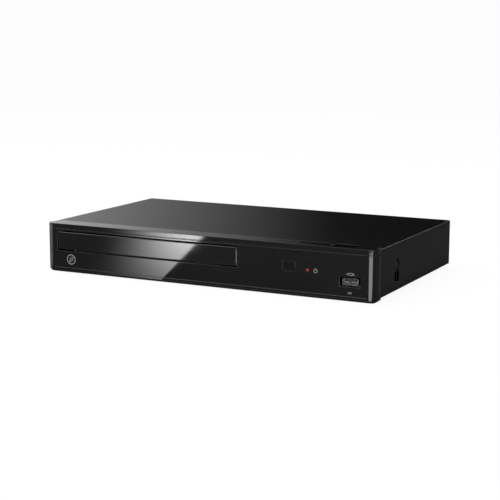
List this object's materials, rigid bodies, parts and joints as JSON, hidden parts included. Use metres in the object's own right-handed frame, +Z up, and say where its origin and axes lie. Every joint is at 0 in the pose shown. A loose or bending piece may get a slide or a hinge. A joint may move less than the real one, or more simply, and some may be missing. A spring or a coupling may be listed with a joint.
{
  "type": "disc player",
  "caption": "Slim box-shaped disc player with a front loading tray, top keys, a front plug socket and rear sockets; the loader and lifting pickup inside can move.",
  "frame": {"origin": "middle of the footprint, on the surface the feet stand on", "axes": "+X to the right seen from the front, +Y to the back, +Z up; the tray opens to -Y"},
  "size_m": [0.312, 0.18, 0.0434],
  "materials": {
    "cover_steel": "fine matt black powder coat",
    "bare_steel": "zinc plated sheet",
    "front_gloss": "polished black",
    "key_black": "polished black",
    "foot_rubber": "matt black",
    "red_lens": "red translucent",
    "dark_window": "smoked",
    "tray_black": "fine matt black",
    "frame_black": "matt dark grey",
    "gear_white": "natural white",
    "belt_rubber": "matt black",
    "bright_steel": "ground and plated",
    "motor_steel": "plated",
    "pickup_metal": "die cast",
    "lens_clear": "clear",
    "board_green": "solder resist over laminate",
    "chip_black": "moulded",
    "sink_aluminium": "anodised",
    "can_sleeve": "sleeve over an aluminium can",
    "socket_plated": "plated shell",
    "socket_black": "moulded",
    "pin_brass": "bright",
    "coil_yellow": "taped winding",
    "sheet_black": "pressed film",
    "cable_white": "flat ribbon",
    "screw_black": "blackened",
    "screw_zinc": "zinc plated",
    "damper_grey": "soft"
  },
  "bodies": {
    "case": {"top_cover": "cover_steel", "bottom_chassis": "bare_steel", "rear_panel": "bare_steel", "front_panel": "front_gloss", "feet": "foot_rubber", "led_lens": "red_lens", "ir_window": "dark_window", "front_board": "board_green", "tact_switches": "chip_black", "status_led": "red_lens", "ir_receiver": "chip_black", "usb_board": "board_green", "usb_socket": "socket_plated", "socket_tongues": "socket_black", "belt": "belt_rubber", "loading_motor": "motor_steel", "drive_chassis": "frame_black", "clamp_bridge": "bare_steel", "main_board": "board_green", "chips": "chip_black", "heat_sink": "sink_aluminium", "board_capacitors": "can_sleeve", "hdmi_socket": "socket_plated", "lan_socket": "socket_plated", "power_board": "board_green", "transformer": "coil_yellow", "line_filter": "chip_black", "power_capacitors": "can_sleeve", "power_heat_sink": "sink_aluminium", "ac_inlet": "socket_black", "inlet_pins": "pin_brass", "insulating_sheet": "sheet_black", "flat_cables": "cable_white", "case_screws": "screw_black", "board_screws": "screw_zinc", "drive_screws": "screw_zinc"},
    "tray": {"disc_tray": "tray_black", "tray_door": "front_gloss"},
    "tray_gear": {"drive_gear": "gear_white"},
    "belt_wheel": {"pulley_gear": "gear_white"},
    "motor_wheel": {"motor_pulley": "gear_white"},
    "cam": {"cam_slider": "gear_white"},
    "traverse": {"lift_frame": "frame_black", "dampers": "damper_grey", "traverse_plate": "bare_steel", "guide_rods": "bright_steel", "spindle_motor": "motor_steel", "feed_motor": "motor_steel", "traverse_screws": "screw_zinc"},
    "disc_table": {"turntable": "tray_black"},
    "clamp": {"clamp_puck": "tray_black"},
    "pickup_unit": {"pickup": "pickup_metal"},
    "lens_unit": {"lens_holder": "chip_black", "objective_lens": "lens_clear"},
    "feed_screw": {"lead_screw": "bright_steel"},
    "power_key": {"power_button": "key_black", "power_plunger": "gear_white"},
    "open_close_key": {"open_close_button": "key_black", "open_close_plunger": "gear_white"}
  },
  "joints": [
    {"name": "tray_slide", "type": "slide", "parent": "case", "child": "tray", "axis": [0, -1, 0], "range_m": [0, 0.132]},
    {"name": "drive_gear_spin", "type": "hinge", "parent": "case", "child": "tray_gear", "pos_m": [-0.01205, -0.071, 0.0244], "axis": [0, 0, 1], "range_deg": [-945.9, 0]},
    {"name": "pulley_gear_spin", "type": "hinge", "parent": "case", "child": "belt_wheel", "pos_m": [-0.02885, -0.071, 0.02], "axis": [0, 0, 1], "range_deg": [0, 2364.6]},
    {"name": "motor_pulley_spin", "type": "hinge", "parent": "case", "child": "motor_wheel", "pos_m": [-0.05745, -0.071, 0.018], "axis": [0, 0, 1], "range_deg": [0, 8085.5]},
    {"name": "traverse_lift", "type": "hinge", "parent": "case", "child": "traverse", "pos_m": [-0.05545, 0.066, 0.0223], "axis": [-1, 0, 0], "range_deg": [0, 5.5]},
    {"name": "cam_slide", "type": "slide", "parent": "case", "child": "cam", "axis": [-1, 0, 0], "range_m": [0, 0.02]},
    {"name": "turntable_spin", "type": "hinge", "parent": "traverse", "child": "disc_table", "pos_m": [-0.05545, -0.02134, 0.02163], "axis": [0, -0.0958, 0.9954], "continuous": true},
    {"name": "clamp_spin", "type": "hinge", "parent": "case", "child": "clamp", "pos_m": [-0.05545, -0.021, 0.0375], "axis": [0, 0, 1], "continuous": true},
    {"name": "pickup_slide", "type": "slide", "parent": "traverse", "child": "pickup_unit", "axis": [0, 0.9954, 0.0958], "range_m": [0, 0.034]},
    {"name": "lead_screw_spin", "type": "hinge", "parent": "traverse", "child": "feed_screw", "pos_m": [-0.02145, 0.02009, 0.01919], "axis": [0, 0.9954, 0.0958], "range_deg": [0, 6121]},
    {"name": "lens_focus", "type": "slide", "parent": "pickup_unit", "child": "lens_unit", "axis": [0, -0.0958, 0.9954], "range_m": [-0.0004, 0.0004], "stiffness_N_per_m": 100},
    {"name": "power_button_press", "type": "slide", "parent": "case", "child": "power_key", "axis": [0, 0, -1], "range_m": [0, 0.0004], "stiffness_N_per_m": 600, "springref_m": -0.0005},
    {"name": "open_close_button_press", "type": "slide", "parent": "case", "child": "open_close_key", "axis": [0, 0, -1], "range_m": [0, 0.0004], "stiffness_N_per_m": 600, "springref_m": -0.0005}
  ],
  "couplings": [
    {"joint": "drive_gear_spin", "follows": "tray_slide", "rad_per_m": -125},
    {"joint": "pulley_gear_spin", "follows": "tray_slide", "rad_per_m": 312.5},
    {"joint": "motor_pulley_spin", "follows": "tray_slide", "rad_per_m": 1068.5},
    {"joint": "cam_slide", "follows": "traverse_lift", "m_per_rad": 0.2083},
    {"joint": "clamp_spin", "follows": "turntable_spin", "ratio": 1},
    {"joint": "lead_screw_spin", "follows": "pickup_slide", "rad_per_m": 3141.6}
  ]
}
